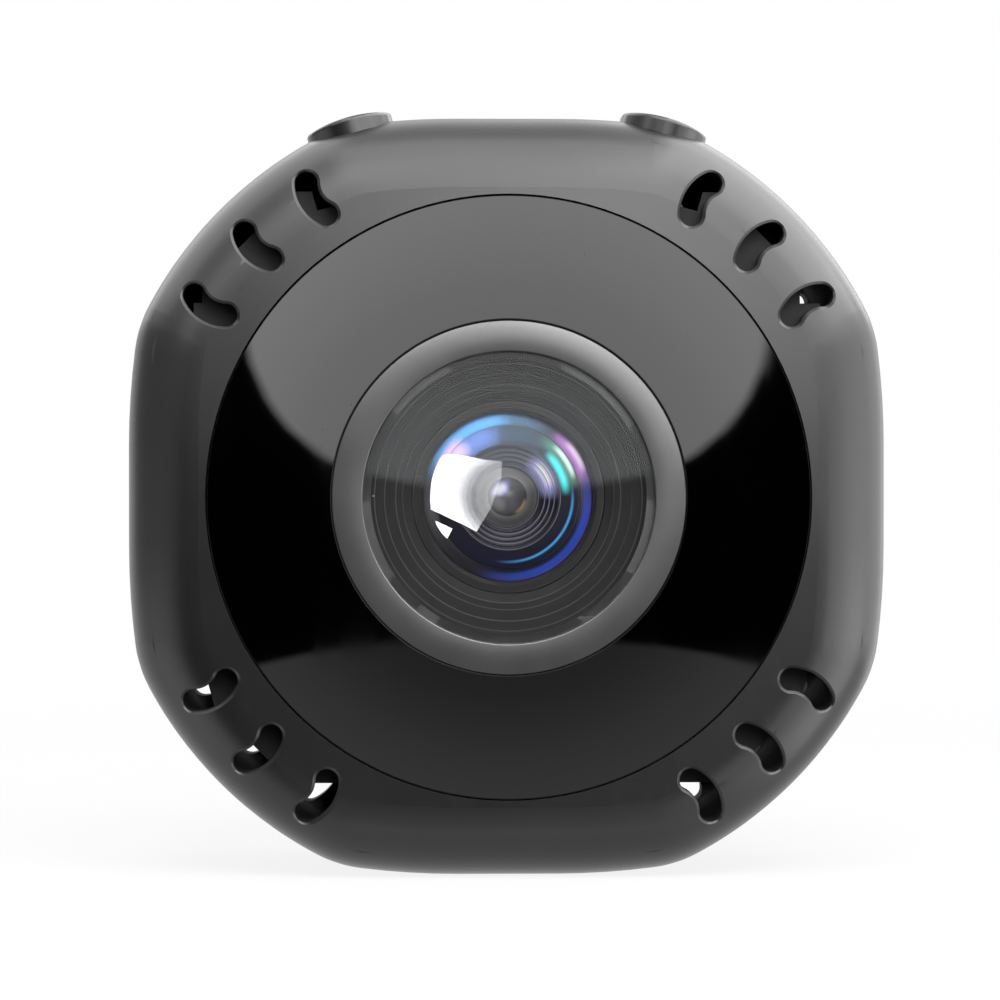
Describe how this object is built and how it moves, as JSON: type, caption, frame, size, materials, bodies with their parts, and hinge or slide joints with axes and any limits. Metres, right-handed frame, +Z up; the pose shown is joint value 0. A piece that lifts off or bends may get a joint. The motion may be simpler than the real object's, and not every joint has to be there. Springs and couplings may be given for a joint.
{
  "type": "mini security camera",
  "caption": "Small square camera with rounded corners, round gloss front panel, central lens behind a clear window, corner vents and push buttons on the top corners.",
  "frame": {"origin": "middle of the flat foot, straight below the middle of the housing", "axes": "+Z up, -Y the way the lens looks, +X to the right as seen from the front"},
  "size_m": [0.045, 0.02, 0.0454],
  "materials": {
    "shell_plastic": "fine matt texture",
    "panel_gloss": "polished",
    "ring_plastic": "fine matt texture",
    "window_clear": "polished",
    "barrel_black": "matt black anodised",
    "lens_glass": "polished and coated",
    "frame_plastic": "matt",
    "board_laminate": "solder mask",
    "chip_resin": "moulded",
    "tin_plate": "stamped",
    "socket_plastic": "moulded",
    "connector_plastic": "moulded",
    "button_gloss": "satin gloss",
    "screw_steel": "black nickel",
    "cell_foil": "foil pouch",
    "adhesive": "foam tape",
    "boot_rubber": "moulded",
    "capsule_metal": "drawn can",
    "magnet_nickel": "nickel plated",
    "lead_red": "insulated wire",
    "lead_black": "insulated wire",
    "flex_film": "polyimide film",
    "lamp_clear": "cast resin",
    "pipe_clear": "moulded clear",
    "filter_glass": "coated"
  },
  "bodies": {
    "housing": {"front_shell": "shell_plastic", "rear_shell": "shell_plastic", "front_panel": "panel_gloss", "panel_adhesive": "adhesive", "lens_ring": "ring_plastic", "lens_window": "window_clear", "lens_barrel": "barrel_black", "lens_retainer": "barrel_black", "front_lens": "lens_glass", "lens_spacer": "barrel_black", "second_lens": "lens_glass", "rear_lens": "lens_glass", "lens_holder": "socket_plastic", "ir_cut_filter": "filter_glass", "image_sensor": "chip_resin", "led_board": "board_laminate", "ir_leds": "lamp_clear", "light_sensor": "lamp_clear", "led_ribbon": "flex_film", "mid_frame": "frame_plastic", "main_board": "board_laminate", "processor_chip": "chip_resin", "wifi_module": "tin_plate", "usb_shell": "tin_plate", "usb_tongue": "socket_plastic", "card_socket": "tin_plate", "status_led": "lamp_clear", "light_pipe": "pipe_clear", "battery": "cell_foil", "battery_tape": "adhesive", "battery_connector": "connector_plastic", "battery_lead_red": "lead_red", "battery_lead_black": "lead_black", "magnet_upper": "magnet_nickel", "magnet_lower": "magnet_nickel", "mic_capsule": "capsule_metal", "mic_boot": "boot_rubber", "wifi_antenna": "flex_film", "case_screws": "screw_steel", "frame_screws": "screw_steel", "holder_screws": "screw_steel", "right_switch_body": "tin_plate", "left_switch_body": "tin_plate", "right_switch_flex": "flex_film", "left_switch_flex": "flex_film"},
    "right_key": {"right_button": "button_gloss", "right_switch_plunger": "socket_plastic"},
    "left_key": {"left_button": "button_gloss", "left_switch_plunger": "socket_plastic"}
  },
  "joints": [
    {"name": "right_button_press", "type": "slide", "parent": "housing", "child": "right_key", "axis": [-0.2756, 0, -0.9613], "range_m": [0, 0.00035], "stiffness_N_per_m": 4500},
    {"name": "left_button_press", "type": "slide", "parent": "housing", "child": "left_key", "axis": [0.2756, 0, -0.9613], "range_m": [0, 0.00035], "stiffness_N_per_m": 4500}
  ]
}
